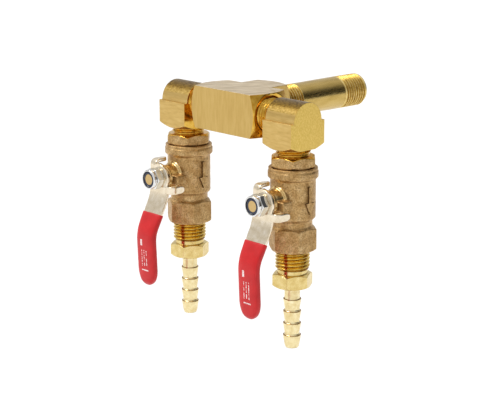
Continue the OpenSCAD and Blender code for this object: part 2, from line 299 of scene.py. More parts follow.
def piece(name, bm, body, node, materials, choose=None, bevel=0.0, keep=None, sharp=40):
    """Makes a mesh into a finished piece that stands for a CAD node. choose(centre, normal)
    picks a face's material. Edges are crisp over sharp degrees. Where bevel is given they
    are rounded instead, except at the points that keep(point) is true for."""
    limit = math.radians(BEVEL_LIMIT if bevel else sharp)
    bm.normal_update()
    for face in bm.faces:
        face.smooth = True
        if choose:
            face.material_index = choose(face.calc_center_median(), face.normal)
    weights = bm.edges.layers.float.new("bevel_weight_edge") if bevel else None
    for edge in bm.edges:
        if len(edge.link_faces) != 2 or edge.calc_face_angle(0) < limit:
            continue
        if bevel and not (keep and any(keep(v.co) for v in edge.verts)):
            edge[weights] = 1.0
        elif not bevel:
            edge.smooth = False
    bmesh.ops.transform(bm, verts=bm.verts,
                        matrix=Matrix.Translation(TEE_CENTRE) @ Matrix.Scale(MM, 4))
    obj = as_object(bm, name)
    for material in materials:
        obj.data.materials.append(material)
    if bevel:
        rounding = obj.modifiers.new("rounding", "BEVEL")
        rounding.limit_method, rounding.width = "WEIGHT", bevel * MM
        rounding.segments, rounding.use_clamp_overlap = 2, False
        obj.modifiers.new("even_light", "WEIGHTED_NORMAL").keep_sharp = True
    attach(obj, body)
    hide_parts(node)
    return obj


# ---------------------------------------------------------------------------------------
# Materials
# ---------------------------------------------------------------------------------------
class Maker:
    """A material under construction: its node tree, its shader and a place for each node."""

    def __init__(self, name, color, metallic, roughness, **fixed):
        self.material = bpy.data.materials.new(name)
        self.material.use_nodes = True
        self.tree = self.material.node_tree
        self.shader = self.tree.nodes["Principled BSDF"]
        self.shader.inputs["Base Color"].default_value = (*color, 1)
        self.shader.inputs["Metallic"].default_value = metallic
        self.shader.inputs["Roughness"].default_value = roughness
        for socket, value in fixed.items():
            self.shader.inputs[socket.replace("_", " ")].default_value = value
        self.coords = self.tree.nodes.new("ShaderNodeTexCoord").outputs["Object"]

    def xyz(self):
        """The three coordinates as values of their own."""
        made = self.node("ShaderNodeSeparateXYZ")
        self.link(self.coords, made.inputs["Vector"])
        return [made.outputs[axis] for axis in "XYZ"]

    def node(self, kind, **settings):
        made = self.tree.nodes.new(kind)
        for key, value in settings.items():
            setattr(made, key, value)
        return made

    def link(self, a, b):
        self.tree.links.new(a, b)

    def noise(self, size, stretch=(1, 1, 1), detail=3.0, rough=0.55):
        """Noise whose blobs are about size millimetres across, longer by stretch."""
        mapping = self.node("ShaderNodeMapping")
        mapping.inputs["Scale"].default_value = [1 / (size * MM * s) for s in stretch]
        self.link(self.coords, mapping.inputs["Vector"])
        made = self.node("ShaderNodeTexNoise")
        made.inputs["Scale"].default_value = 1.0
        made.inputs["Detail"].default_value = detail
        made.inputs["Roughness"].default_value = rough
        self.link(mapping.outputs["Vector"], made.inputs["Vector"])
        return made.outputs["Fac"]

    def ramp(self, value, stops):
        """Colours along a value: stops are (place, colour)."""
        made = self.node("ShaderNodeValToRGB")
        points = made.color_ramp.elements
        points[0].position, points[0].color = stops[0][0], (*stops[0][1], 1)
        points[1].position, points[1].color = stops[-1][0], (*stops[-1][1], 1)
        for place, color in stops[1:-1]:
            points.new(place).color = (*color, 1)
        self.link(value, made.inputs["Fac"])
        return made.outputs["Color"]

    def range(self, value, low, high, to_low, to_high):
        """Value stretched from low-high to to_low-to_high, and held there past the ends."""
        made = self.node("ShaderNodeMapRange")
        numbers = {"From Min": low, "From Max": high, "To Min": to_low, "To Max": to_high}
        for socket, number in numbers.items():
            made.inputs[socket].default_value = number
        self.link(value, made.inputs["Value"])
        return made.outputs["Result"]

    def math(self, operation, a, b=0.0):
        made = self.node("ShaderNodeMath", operation=operation)
        for socket, value in zip(made.inputs, (a, b)):
            if isinstance(value, (int, float)):
                socket.default_value = value
            else:
                self.link(value, socket)
        return made.outputs["Value"]

    def mix(self, factor, a, b):
        """Colour a where factor is 0 and b where it is 1."""
        made = self.node("ShaderNodeMix", data_type="RGBA")
        self.link(factor, made.inputs["Factor"])
        for socket, value in ((made.inputs[6], a), (made.inputs[7], b)):
            if isinstance(value, tuple):
                socket.default_value = (*value, 1)
            else:
                self.link(value, socket)
        return made.outputs[2]

    def color(self, output):
        self.link(output, self.shader.inputs["Base Color"])

    def roughness(self, output):
        self.link(output, self.shader.inputs["Roughness"])

    def bump(self, height, depth):
        """Adds relief of depth millimetres on top of what is there."""
        made = self.node("ShaderNodeBump")
        made.inputs["Strength"].default_value = 1.0
        made.inputs["Distance"].default_value = depth * MM
        self.link(height, made.inputs["Height"])
        if self.shader.inputs["Normal"].is_linked:
            self.link(self.shader.inputs["Normal"].links[0].from_socket, made.inputs["Normal"])
        self.link(made.outputs["Normal"], self.shader.inputs["Normal"])


def metal(name, tones, patch, rough, patch_stretch=(1, 1, 1), grain=0.3, grain_stretch=(1, 1, 1),
          depth=0.006):
    """A metal whose tone drifts in soft patches and whose finish is a fine directional grain.
    patch and grain are sizes, and depth is the grain's relief, in millimetres."""
    m = Maker(name, tones[1], 1.0, rough[0])
    patches = m.noise(patch, patch_stretch)
    m.color(m.ramp(patches, [(0.3, tones[0]), (0.5, tones[1]), (0.72, tones[2])]))
    fine = m.noise(grain, grain_stretch, detail=2.0)
    m.roughness(m.range(fine, 0.3, 0.7, *rough))
    m.bump(fine, depth)
    return m.material


def cast_brass(name, shade):
    """Sand casting: sandy grain, shallow pits and darker brown patches. shade scales every colour;
    a copy with shade below 1 is painted shade.
    """
    def shaded(color):
        return tuple(c * shade for c in color)

    m = Maker(name, shaded((0.59, 0.39, 0.17)), 1.0, 0.5)
    patches = m.noise(3.0, detail=4.0)
    sand = m.noise(0.62, detail=5.0, rough=0.78)
    tones = ((0.3, (0.46, 0.27, 0.10)), (0.52, (0.60, 0.39, 0.165)), (0.75, (0.78, 0.56, 0.29)))
    tone = m.ramp(patches, [(place, shaded(color)) for place, color in tones])
    pits = m.range(sand, 0.40, 0.56, 0.72, 0.0)
    m.color(m.mix(pits, tone, shaded((0.24, 0.13, 0.045))))
    m.roughness(m.range(sand, 0.3, 0.7, 0.5, 0.34))
    m.bump(sand, 0.18)
    m.bump(m.noise(1.4), 0.12)
    return m.material


def mottled_brass():
    """Skin of extruded bar that no tool has touched: blotchy, with painted shade that darkens the
    top of the arch.
    """
    m = Maker("mottled_brass", (0.5, 0.33, 0.1), 1.0, 0.45)
    blots = m.noise(0.7, (1.4, 1, 1), detail=4.0, rough=0.65)
    skin = m.ramp(blots, [(0.34, (0.38, 0.23, 0.05)), (0.5, (0.60, 0.40, 0.11)),
                          (0.68, (0.76, 0.55, 0.20))])
    shaded_top_tones = m.ramp(blots, [(0.34, (0.09, 0.045, 0.005)), (0.68, (0.33, 0.20, 0.035))])
    height = m.xyz()[2]
    # Painted shade: the colour turns to the darker tones from 3.9 to 5.7 mm up, over the top of the
    # arch.
    m.color(m.mix(m.range(height, 3.9 * MM, 5.7 * MM, 0.0, 1.0), skin, shaded_top_tones))
    m.roughness(m.range(blots, 0.3, 0.7, 0.42, 0.28))
    m.bump(blots, 0.06)
    return m.material


def sawn_top():
    """Face of the tee left by the saw: greyer, with faint slanting strokes."""
    m = Maker("sawn_top", (0.66, 0.56, 0.42), 1.0, 0.42)
    slant = m.node("ShaderNodeMapping")
    slant.inputs["Rotation"].default_value = (0, 0, math.radians(32))
    m.link(m.coords, slant.inputs["Vector"])
    m.coords = slant.outputs["Vector"]
    strokes = m.noise(0.5, (1, 16, 1), detail=2.0)
    m.color(m.ramp(strokes, [(0.34, (0.46, 0.34, 0.18)), (0.5, (0.68, 0.55, 0.36)),
                             (0.64, (0.88, 0.76, 0.58))]))
    m.roughness(m.range(strokes, 0.3, 0.7, 0.36, 0.5))
    m.bump(strokes, 0.05)
    return m.material


def red_vinyl():
    """Dipped vinyl with a soft gloss, a faint orange-peel skin and a worn white print of
    plain blocks and dashed stripes."""
    m = Maker("red_vinyl", (0.55, 0.008, 0.010), 0.0, 0.3, Specular_IOR_Level=0.4)
    cloud = m.noise(5.0)
    red = m.ramp(cloud, [(0.3, (0.50, 0.004, 0.006)), (0.55, (0.56, 0.007, 0.009)),
                         (0.8, (0.62, 0.012, 0.014))])
    part_x, part_y, part_z = m.xyz()
    x = m.math("SUBTRACT", part_x, m.math("MULTIPLY", m.math("SIGN", part_x), VALVE_X * MM))
    z = m.math("SUBTRACT", part_z, STEM_Z * MM)

    def product(a, b):
        return m.math("MULTIPLY", a, b)

    def block(x0, z0, width, height):
        """1 inside an upright block centred on (x0, z0) from the stem, and 0 elsewhere."""
        within = []
        for value, centre, size in ((x, x0, width), (z, z0, height)):
            distance = m.math("ABSOLUTE", m.math("SUBTRACT", value, centre * MM))
            within.append(m.math("LESS_THAN", distance, size * MM / 2))
        return product(*within)

    stripes = block(0.0, -33.0, 0.4, 7.0)
    for x0 in (-1.4, 1.4):
        stripes = m.math("MAXIMUM", stripes, block(x0, -33.0, 0.4, 7.0))
    dashes = m.math("GREATER_THAN", m.noise(0.55, (2, 1, 1), detail=1.0), 0.47)
    printed = product(stripes, dashes)
    for mark in (block(-1.5, -26.4, 1.1, 2.6), block(0.2, -38.2, 4.0, 0.5)):
        printed = m.math("MAXIMUM", printed, mark)
    front = m.math("LESS_THAN", part_y, TEE_CENTRE.y - (KNEE_S - 0.8) * MM)
    worn = m.range(m.noise(0.5, detail=3.0), 0.36, 0.46, 0.25, 0.9)
    m.color(m.mix(product(product(printed, front), worn), red, (0.88, 0.84, 0.82)))
    skin = m.noise(0.8, detail=2.0)
    m.roughness(m.range(skin, 0.3, 0.7, 0.30, 0.42))
    m.bump(skin, 0.012)
    return m.material


def plain(name, color, metallic, rough_low, rough_high, size, depth):
    """A small smooth part: one colour that drifts a little, and a faint surface."""
    m = Maker(name, color, metallic, rough_low)
    drift = m.noise(size)
    darker = tuple(c * 0.86 for c in color)
    m.color(m.ramp(drift, [(0.3, darker), (0.65, color)]))
    m.roughness(m.range(drift, 0.3, 0.7, rough_low, rough_high))
    m.bump(m.noise(size / 4), depth)
    return m.material


# Drawn bar has streaks along the bar, and turned faces are bright.
bar_side = metal("bar_side", ((0.54, 0.355, 0.108), (0.58, 0.39, 0.125), (0.62, 0.43, 0.15)),
                 0.9, (0.30, 0.42), patch_stretch=(1, 1, 9), grain=0.2, grain_stretch=(1, 1, 9))
elbow_side = metal("elbow_side", ((0.55, 0.365, 0.115), (0.62, 0.42, 0.14), (0.68, 0.48, 0.18)),
                   1.0, (0.30, 0.42), patch_stretch=(5, 1, 1), grain=0.16, grain_stretch=(10, 1, 1),
                   depth=0.012)
elbow_end = metal("elbow_end", ((0.66, 0.45, 0.10), (0.735, 0.515, 0.13), (0.82, 0.61, 0.19)),
                  0.5, (0.32, 0.46), patch_stretch=(1, 1, 1.6), depth=0.03)
turned_gold = metal("turned_gold", ((0.55, 0.285, 0.03), (0.65, 0.37, 0.052), (0.76, 0.49, 0.10)),
                    2.0, (0.12, 0.22))
pipe_brass = metal("pipe_brass", ((0.48, 0.33, 0.09), (0.57, 0.40, 0.125), (0.62, 0.46, 0.17)),
                   2.2, (0.22, 0.34), patch_stretch=(1, 6, 1), grain=0.25, grain_stretch=(1, 12, 1),
                   depth=0.012)
pipe_thread = metal("pipe_thread", ((0.60, 0.43, 0.13), (0.72, 0.54, 0.20), (0.84, 0.67, 0.31)),
                    1.6, (0.22, 0.34), depth=0.01)
# Thread roots are painted darker: painted shade in the grooves.
pipe_groove_shade = metal("pipe_groove_shade", ((0.28, 0.15, 0.022), (0.40, 0.235, 0.042), (0.52, 0.33, 0.07)),
                    1.6, (0.26, 0.38), depth=0.01)
thread_gold = metal("thread_gold", ((0.60, 0.36, 0.05), (0.74, 0.49, 0.09), (0.86, 0.63, 0.17)),
                    1.6, (0.12, 0.22))
# Darker gold for thread roots and the undersides of the barb rings: painted shade.
groove_shade_gold = metal("groove_shade_gold", ((0.22, 0.09, 0.01), (0.31, 0.14, 0.018), (0.41, 0.21, 0.03)),
                    2.0, (0.2, 0.32))
machined = metal("machined", ((0.60, 0.39, 0.15), (0.72, 0.51, 0.22), (0.82, 0.63, 0.33)),
                 1.6, (0.18, 0.3), depth=0.008)
pale_brass = metal("pale_brass", ((0.63, 0.45, 0.155), (0.72, 0.55, 0.215), (0.82, 0.66, 0.31)),
                   2.0, (0.14, 0.26), grain_stretch=(1, 1, 0.3))
tail_brass = metal("tail_brass", ((0.75, 0.59, 0.29), (0.84, 0.70, 0.38), (0.94, 0.83, 0.52)),
                   2.0, (0.26, 0.38), grain_stretch=(1, 1, 0.3))
nickel = metal("nickel", ((0.72, 0.61, 0.44), (0.81, 0.70, 0.53), (0.90, 0.81, 0.66)),
               2.5, (0.14, 0.24), grain=0.5)
chrome = plain("chrome", (0.80, 0.80, 0.79), 1.0, 0.05, 0.09, 1.5, 0.004)
stem_end = plain("stem_end", (0.66, 0.46, 0.20), 1.0, 0.3, 0.42, 0.6, 0.01)
nylon = plain("nylon", (0.012, 0.018, 0.045), 0.0, 0.3, 0.4, 0.8, 0.01)
seat_white = plain("seat_white", (0.86, 0.86, 0.84), 0.0, 0.4, 0.5, 2.0, 0.01)
seal_black = plain("seal_black", (0.02, 0.02, 0.02), 0.0, 0.5, 0.6, 1.0, 0.01)
ball_plate = plain("ball_plate", (0.85, 0.85, 0.86), 1.0, 0.06, 0.1, 3.0, 0.002)
cast = cast_brass("cast_brass", 1.0)
# Darker copy of the cast brass: painted shade for the side walls of the raised flow arrow.
cast_painted_shade = cast_brass("cast_painted_shade", 0.4)
mottled = mottled_brass()
sawn = sawn_top()
vinyl = red_vinyl()


# ---------------------------------------------------------------------------------------
# Tee, elbows and nipple
# ---------------------------------------------------------------------------------------
def end_cutter(r, reach=6.0):
    """What is turned off a square end at height 0, to leave a flat ring of radius r."""
    return revolve([(r, 0.0), (r + reach, -reach * CONE), (r + reach, 1.0), (r, 1.0)])


def port_cutter(depth, mouth=0.8):
    """A port that opens at height 0, with its countersink."""
    wide = PORT_R + mouth
    return revolve([(PORT_R, -depth), (PORT_R, -mouth), (wide, 0.0), (wide, 1.0)], closed=False)


def rod(r, z0, z1):
    return revolve([(r, z0), (r, z1)], closed=False)


def at_stem(bm, x=0.0):
    """bm, drawn about the vertical, laid along the axis of the stem of a valve at x."""
    return move(turn(bm, "X", 90), x, 0, STEM_Z)


def tee():
    half, top = tee_high.x, tee_high.z
    front, branch = tee_low.y, tee_high.y
    back, branch_half = -front, 8.75
    ring, run_depth, branch_depth = 8.9, 9.2, 11.2
    edge = 0.05
    outline = [(-half, front), (half, front), (half, back), (branch_half, back),
               (branch_half, branch), (-branch_half, branch), (-branch_half, back), (-half, back)]
    bm = loft([[(x, y, z) for x, y in outline] for z in (-top, top)])
    ends = [("Y", 90, (half, 0, 0), run_depth), ("Y", -90, (-half, 0, 0), run_depth),
            ("X", -90, (0, branch, 0), branch_depth)]
    for axis, degrees, place, depth in ends:
        for cutter in (end_cutter(ring), port_cutter(depth)):
            bm = combine(bm, move(turn(cutter, axis, degrees), *place), "DIFFERENCE")
    bm = combine(bm, turn(rod(PASSAGE_R, -half, half), "Y", 90), "DIFFERENCE")
    bm = combine(bm, turn(rod(PASSAGE_R, 0, branch), "X", -90), "DIFFERENCE")

    def choose(centre, normal):
        if abs(normal.z) > 0.99 and abs(abs(centre.z) - top) < 0.01:
            return 1
        flat = max(abs(normal.x), abs(normal.y)) > 0.99
        return 0 if flat and abs(centre.x) < half - edge and centre.y < branch - edge else 2

    def keep(p):
        """The turned ring and the flat meet almost edge to edge there, with no room for a bevel."""
        near_end = min(abs(abs(p.x) - half), abs(p.y - branch)) < 0.12
        return abs(p.z) > top - edge and near_end and min(abs(p.x), abs(p.y)) < 3.0

    piece("tee_body", bm, "manifold", "tee", [bar_side, sawn, turned_gold], choose,
          bevel=0.2, keep=keep)


def nipple():
    near, far = nipple_low.y, nipple_high.y
    near_end, far_start = near + 21.5, far - 14.5
    bore, chamfer = 4.625, 0.5
    bm = revolve([
        (bore, near),
        Thread(PIPE_R, near, near_end, lead0=1.0, fade1=1.0),
        Thread(THREAD_R, far_start, far, lead1=1.0, fade0=1.5),
        (bore + chamfer, far), (bore, far - chamfer),
    ])
    turn(bm, "X", -90)

    def choose(centre, normal):
        across = math.hypot(centre.x, centre.z)
        threaded = centre.y < near_end - 0.3 or centre.y > far_start + 0.3
        if not threaded or across < bore + 0.2:
            return 0
        # Faces in the thread roots take the darker material: painted shade in the grooves.
        return 2 if across < THREAD_R - 0.33 and centre.y < far - 1.2 else 1

    piece("inlet_pipe", bm, "manifold", "inlet_nipple",
          [pipe_brass, pipe_thread, pipe_groove_shade], choose, bevel=0.12,
          keep=lambda p: math.hypot(p.x, p.z) > 5.8)


def elbow(side, sign):
    """Drawn for the right side, and mirrored for the left."""
    inner = 2 * VALVE_X - elbow_high.x
    outer, start = elbow_high.x, elbow_low.x
    drop, depth, arch = elbow_low.z, elbow_high.y, elbow_high.z
    ring, port_depth, steps = 8.8, 7.6, 40
    step = math.pi / steps
    curve = [(arch * math.cos(step * i), arch * math.sin(step * i)) for i in range(1, steps)]
    shoulder = [(depth, 0.0), (arch + 0.5, 0.0), (arch + 0.25, -0.14), (arch + 0.02, 0.1)]
    outline = [(depth, drop), *shoulder, *curve, *[(-y, z) for y, z in reversed(shoulder)],
               (-depth, drop)]
    bm = prism(outline, inner, outer)
    bm = combine(bm, move(turn(end_cutter(ring), "X", 180), VALVE_X, 0, drop), "DIFFERENCE")
    core = THREAD_R - 1.0
    spigot = revolve([(core, start), Thread(THREAD_R, start, inner + 0.9, lead0=1.0, lead1=0.9),
                      (core, inner + 1.5)], closed=False)
    bm = combine(bm, turn(spigot, "Y", 90), "UNION")
    bm = combine(bm, move(turn(port_cutter(port_depth), "X", 180), VALVE_X, 0, drop), "DIFFERENCE")
    bm = combine(bm, move(rod(PASSAGE_R, drop, 0.0), VALVE_X), "DIFFERENCE")
    bm = combine(bm, turn(rod(PASSAGE_R, start - 1, VALVE_X + 2), "Y", 90), "DIFFERENCE")
    if sign < 0:
        flip_x(bm)

    def choose(centre, normal):
        x = centre.x * sign
        bored = math.hypot(centre.y, centre.z) < 5 and x < outer - 0.1
        if x < inner + 0.02 or bored:
            return 2
        if x > outer - 0.02:
            return 3
        if centre.z > 0.0:
            return 1 if centre.z > 3.3 else 0
        return 2 if abs(normal.z) > 0.99 and abs(centre.z - drop) < 0.02 else 0

    piece(f"{side}_elbow_body", bm, "manifold", f"{side}_elbow",
          [elbow_side, mottled, turned_gold, elbow_end], choose, bevel=0.2,
          keep=lambda p: p.x * sign < inner + 0.02 and math.hypot(p.y, p.z) < 7.4)


# ---------------------------------------------------------------------------------------
# Valves and barbs
# ---------------------------------------------------------------------------------------
def tailpiece(side, sign):
    bore = 4.0
    bm = revolve([
        (bore, tail_low.z), (SOCKET_R, tail_low.z), (SOCKET_R, BODY_TOP),
        *hexagon(VALVE_HEX, BODY_TOP, TAIL_HEX_TOP),
        (THREAD_R - 1.0, TAIL_HEX_TOP),
        Thread(THREAD_R, TAIL_HEX_TOP, tail_high.z, lead0=0.7, lead1=1.0),
        (bore, tail_high.z),
    ], first_angle=math.radians(-45))
    move(bm, sign * VALVE_X)

    def choose(centre, normal):
        above = centre.z - TAIL_HEX_TOP
        return 1 if above > 0 or (above > -0.9 and normal.z > 0.3) else 0

    piece(f"{side}_tail", bm, "manifold", f"{side}_tailpiece", [cast, turned_gold],
          choose, bevel=0.3, keep=lambda p: p.z > TAIL_HEX_TOP + 0.05)


def flow_arrow(x0, x1):
    """Raised mark on the barrel's side that shows which way the water runs."""
    top, neck, low = STEM_Z + 5.6, STEM_Z - 0.8, STEM_Z - 5.6
    shaft, head = 0.75, 2.3
    return prism([(-shaft, top), (-shaft, neck), (-head, neck), (0.0, low), (head, neck),
                  (shaft, neck), (shaft, top)], x0, x1)


def casting():
    """A valve's body as cast and bored, at X 0."""
    neck_r, boss_r, gland_r = 7.75, 5.85, 4.85
    body = revolve([
        *hexagon(VALVE_HEX, BODY_END, BODY_HEX_TOP),
        (neck_r, BODY_HEX_TOP + 0.2), (neck_r, -39.9), (BARREL_R, -38.6), (BARREL_R, -23.3),
        (RING_R, -22.4), (RING_R, -20.1), (RING_R - 0.6, -19.8), (RING_R - 0.25, -19.4),
        (RING_R - 0.25, BODY_TOP),
    ], first_angle=math.radians(90), closed=False)
    boss = revolve([
        (boss_r, 2.0), (boss_r, 8.9), (boss_r - 0.4, 9.3), (gland_r, 9.3),
        (gland_r, 13.0), (gland_r - 0.25, 13.1), (gland_r - 0.25, 13.5), (gland_r, 13.6),
        (gland_r, 14.3), (gland_r - 0.2, 14.5),
    ], closed=False)
    lug_side = [(3.35, -2.65), (7.8, -2.65), (8.2, -2.25), (8.2, 0.9), (7.8, 1.3), (3.35, 1.3)]
    lug = loft([[(x, z, s) for x, z in lug_side] for s in (8.6, 13.4)])
    for part in (boss, lug):
        body = combine(body, at_stem(part), "UNION")
    way_r, chamber_r, socket_r = 3.5, 6.5, SOCKET_R + 0.05
    way = revolve([
        (PORT_R + 0.8, BODY_END - 1), (PORT_R + 0.8, BODY_END), (PORT_R, BODY_END + 0.8),
        (PORT_R, BODY_HEX_TOP), (way_r, BODY_HEX_TOP), (way_r, -37.6), (chamber_r, -37.6),
        (chamber_r, -24.4), (socket_r, -24.4), (socket_r, BODY_TOP + 1),
    ], closed=False)
    collar_r, shoulder, stem_r = 3.9, 9.0, 3.05
    stem_way = revolve([(collar_r, 0.0), (collar_r, shoulder), (stem_r, shoulder), (stem_r, 16.0)],
                       closed=False)
    for bore in (way, at_stem(stem_way)):
        body = combine(body, bore, "DIFFERENCE")
    return remeshed(body, 0.28, 2)


def valve_body(side, sign):
    bm = casting()
    bm.normal_update()
    for v in bm.verts:
        hidden = math.hypot(v.co.x, v.co.y) < 8.2 and v.co.y > -9 and v.co.z > BODY_END + 0.3
        if not hidden:
            rise = 0.05 * noise.noise(v.co * 0.9) + 0.03 * noise.noise(v.co * 2.6) - 0.03
            v.co += v.normal * rise
    buried, raised = 8.2, BARREL_R + 0.65
    for x0, x1 in ((buried, raised), (-raised, -buried)):
        bm = combine(bm, flow_arrow(x0, x1), "UNION")
    move(bm, sign * VALVE_X)

    def choose(centre, normal):
        x, z = centre.x - sign * VALVE_X, centre.z - STEM_Z
        # The raised arrow's side walls take the darkened copy: painted shade along its outline.
        if abs(x) > 8.6 and abs(centre.y) < 2.6 and abs(z) < 6.5 and abs(normal.x) < 0.8:
            return 2
        if x > 4.0 and -2.9 < z < 1.6 and centre.y > -13.7:
            return 0
        across = math.hypot(x, z)
        turned = centre.y < -8.85 and across < 5.9 and (across < 5.1 or normal.y < -0.3)
        return 1 if turned else 0

    piece(f"{side}_body", bm, "manifold", f"{side}_valve_body",
          [cast, machined, cast_painted_shade], choose, sharp=50)


def hose_barb(side, sign):
    tip, top = barb_low.z, barb_high.z
    bore, wide, relief_r, flats = 2.3, 3.5, 6.1, 14.29
    relief, hex_top, hex_end = -60.0, -61.5, -67.35
    barb_r, low_r, neck_r, step, first = 3.6, 3.0, 3.1, 5.03, -72.4
    rows = [(wide, top), (wide, relief), (bore, relief), (bore, tip + 0.3), (bore + 0.3, tip),
            (low_r - 0.5, tip), (low_r - 0.25, tip + 0.35)]
    for i in (3, 2, 1, 0):
        z = first - i * step
        rows += [(low_r, z - step + 0.9), (barb_r - 0.03, z - 0.55), (barb_r, z - 0.35),
                 (barb_r, z - 0.06), (barb_r - 0.06, z), (neck_r, z)]
    rows += [(neck_r, hex_end - 0.5), (neck_r + 0.5, hex_end), *hexagon(flats, hex_end, hex_top),
             (relief_r, hex_top), (relief_r, relief),
             Thread(THREAD_R, relief, top, lead0=0.5, lead1=1.0)]
    bm = revolve(rows)
    move(bm, sign * VALVE_X)

    def choose(centre, normal):
        across = math.hypot(centre.x - sign * VALVE_X, centre.y)
        if centre.z < hex_end - 0.05:
            # Undersides of the barb rings take the darker gold: painted shade under each ring.
            shaded_underside = normal.z < -0.6 and across > neck_r - 0.1 and centre.z > tip + 1
            return 2 if shaded_underside else 3
        if centre.z > relief + 0.1:
            # Thread roots take the darker gold: painted shade in the grooves.
            return 2 if wide + 0.5 < across < THREAD_R - 0.5 else 1
        return 0

    piece(f"{side}_barb", bm, "manifold", f"{side}_hose_barb",
          [pale_brass, thread_gold, groove_shade_gold, tail_brass], choose, bevel=0.1,
          keep=lambda p: p.z > relief + 0.05 or p.z < hex_end - 0.6)


# ---------------------------------------------------------------------------------------
# Handles
# ---------------------------------------------------------------------------------------
def bent_path(points, radius, step):
    """Points evenly spaced along a path with rounded corners, each with its direction."""
    line = [Vector(points[0])]
    parts = 12
    for a, b, c in zip(points, points[1:], points[2:]):
        a, b, c = Vector(a), Vector(b), Vector(c)
        u, v = (a - b).normalized(), (c - b).normalized()
        reach = radius / math.tan(u.angle(v) / 2)
        for i in range(parts + 1):
            t = i / parts
            line.append((b + u * reach) * (1 - t) ** 2 + b * 2 * t * (1 - t)
                        + (b + v * reach) * t * t)
    line.append(Vector(points[-1]))
    places, travelled = [], 0.0
    lengths = [(q - p).length for p, q in zip(line, line[1:])]
    total = sum(lengths)
    count = max(2, round(total / step))
    for k in range(count + 1):
        want = total * k / count
        while lengths and travelled + lengths[0] < want - 1e-9:
            travelled += lengths.pop(0)
            line.pop(0)
        direction = (line[1] - line[0]).normalized()
        places.append((line[0] + direction * (want - travelled), direction))
    return places, total


def section(place, direction, half_w, half_t, power, points=32):
    """Loop across a strip: X by the strip's width, and its thickness across the path."""
    across = Vector((-direction.y, direction.x))
    loop = []
    for i in range(points):
        a = math.tau * i / points
        c, s = math.cos(a), math.sin(a)
        x = half_w * math.copysign(abs(c) ** (2 / power), c)
        q = place + across * half_t * math.copysign(abs(s) ** (2 / power), s)
        loop.append((x, -q.x, q.y))
    return loop


def share(value, whole):
    """value as a share of whole, held between 0 and 1."""
    return min(1.0, max(0.0, value / whole))


def rounded(t):
    """Share of full width at share t of the way in from a round end."""
    return math.sqrt(1 - (1 - t) ** 2)


def strip_half(z):
    """Half the strip's width at a height. It narrows inside the sleeve, down to the knee."""
    return STRIP_HALF - STRIP_TAPER * share(sleeve_high.z - z, sleeve_high.z - KNEE_Z)


def strip_tip(left):
    """Share of its width that the strip has, at a distance left from the sleeve's tip."""
    return max(rounded(share(left - STRIP_SHORT, STRIP_ROUND)), math.sqrt(0.02))


def tab(first, width0, width1, reach):
    """A tab that stands up from the plate and turns back to the valve, with a round end. It
    lies between two widths across, and reaches as far up from the stem as reach."""
    bend, end_round, end_share = 2.0, 1.9, 0.42
    route = [(STRIP_S, first), (STRIP_S, reach), (TAB_END, reach)]
    places, total = bent_path(route, bend, 0.35)
    half, middle = (width1 - width0) / 2, (width0 + width1) / 2
    loops = []
    for k, (place, direction) in enumerate(places):
        left = total * (1 - k / (len(places) - 1))
        w = half * (end_share + (1 - end_share) * rounded(share(left, end_round)))
        loops.append([(x + middle, y, z)
                      for x, y, z in section(place, direction, w, STRIP_T / 2 - 0.01, 6)])
    return loft(loops)


def lever(side, sign):
    places, total = bent_path(LEVER_ROUTE, BEND_R, 0.5)
    loops = []
    for k, (place, direction) in enumerate(places):
        down = total * k / (len(places) - 1)
        if total - down < STRIP_SHORT:
            break
        below = down - PLATE_R
        w = math.sqrt(max(PLATE_R ** 2 - below ** 2, 0.16)) if below < 4 else 0.0
        if below > 0:
            w = max(w, strip_half(place.y) * strip_tip(total - down))
        loops.append(section(place, direction, w, STRIP_T / 2, 7 if w > 1 else 3))
    bm = loft(loops)
    upper = move(tab(2.0, -5.05, -1.55, 6.7), 0, 0, STEM_Z)
    lower = move(turn(tab(2.0, 2.9, 6.1, 8.1), "Y", 90), 0, 0, STEM_Z)
    for part in (upper, lower):
        bm = combine(bm, part, "UNION")
    bm = combine(bm, at_stem(rod(STEM_R, 0, 20)), "DIFFERENCE")
    move(bm, sign * VALVE_X)
    piece(f"{side}_lever", bm, f"{side}_handle", f"{side}_handle_lever", [nickel],
          sharp=50)


def sleeve(side, sign):
    """Vinyl skin, closed at the tip, with the strip's pocket open at the mouth."""
    slope = (KNEE_S - STRIP_S) / (BEND_Z - KNEE_Z)
    top = sleeve_high.z - 0.75
    route = [(STRIP_S + (BEND_Z - top) * slope, top)] + LEVER_ROUTE[2:]
    places, total = bent_path(route, BEND_R, 0.45)
    stations = [(place, direction, total * (1 - k / (len(places) - 1)))
                for k, (place, direction) in enumerate(places)]
    points, slack, skin_power = 48, 0.06, 3.6
    loops = []
    for place, direction, left in reversed(stations):
        if left > STRIP_SHORT - 0.05:
            w = (strip_half(place.y) + 0.08) * strip_tip(left + 0.1)
            loops.append(section(place, direction, w, STRIP_T / 2 + slack, 7, points))

    def size(place):
        """Half width and half thickness: flat and wide at the mouth, narrower and full below."""
        full = share(top - place.y, top - KNEE_Z)
        return 5.85 - 0.55 * full, 1.32 + 0.43 * math.sqrt(full)

    place, direction, _ = stations[0]
    w, t = size(place)
    for inset, back in ((0.2, -0.04), (0.04, 0.0)):
        loops.append(section(place + direction * back, direction, w - inset, t - inset,
                             skin_power, points))
    end, direction, _ = stations[-1]
    last = [(end - direction * left, direction, left) for left in (0.3, 0.18, 0.09, 0.03, 0.005)]
    width_round, thickness_round = 7.4, 2.4
    for place, direction, left in stations[1:-1] + last:
        w, t = size(place)
        thin = rounded(share(left, thickness_round))
        loops.append(section(place, direction, w * rounded(share(left, width_round)), t * thin,
                             3.4 - 1.2 * (1 - thin), points))
    bm = move(loft(loops), sign * VALVE_X)
    piece(f"{side}_grip", bm, f"{side}_handle", f"{side}_handle_sleeve", [vinyl],
          sharp=60)


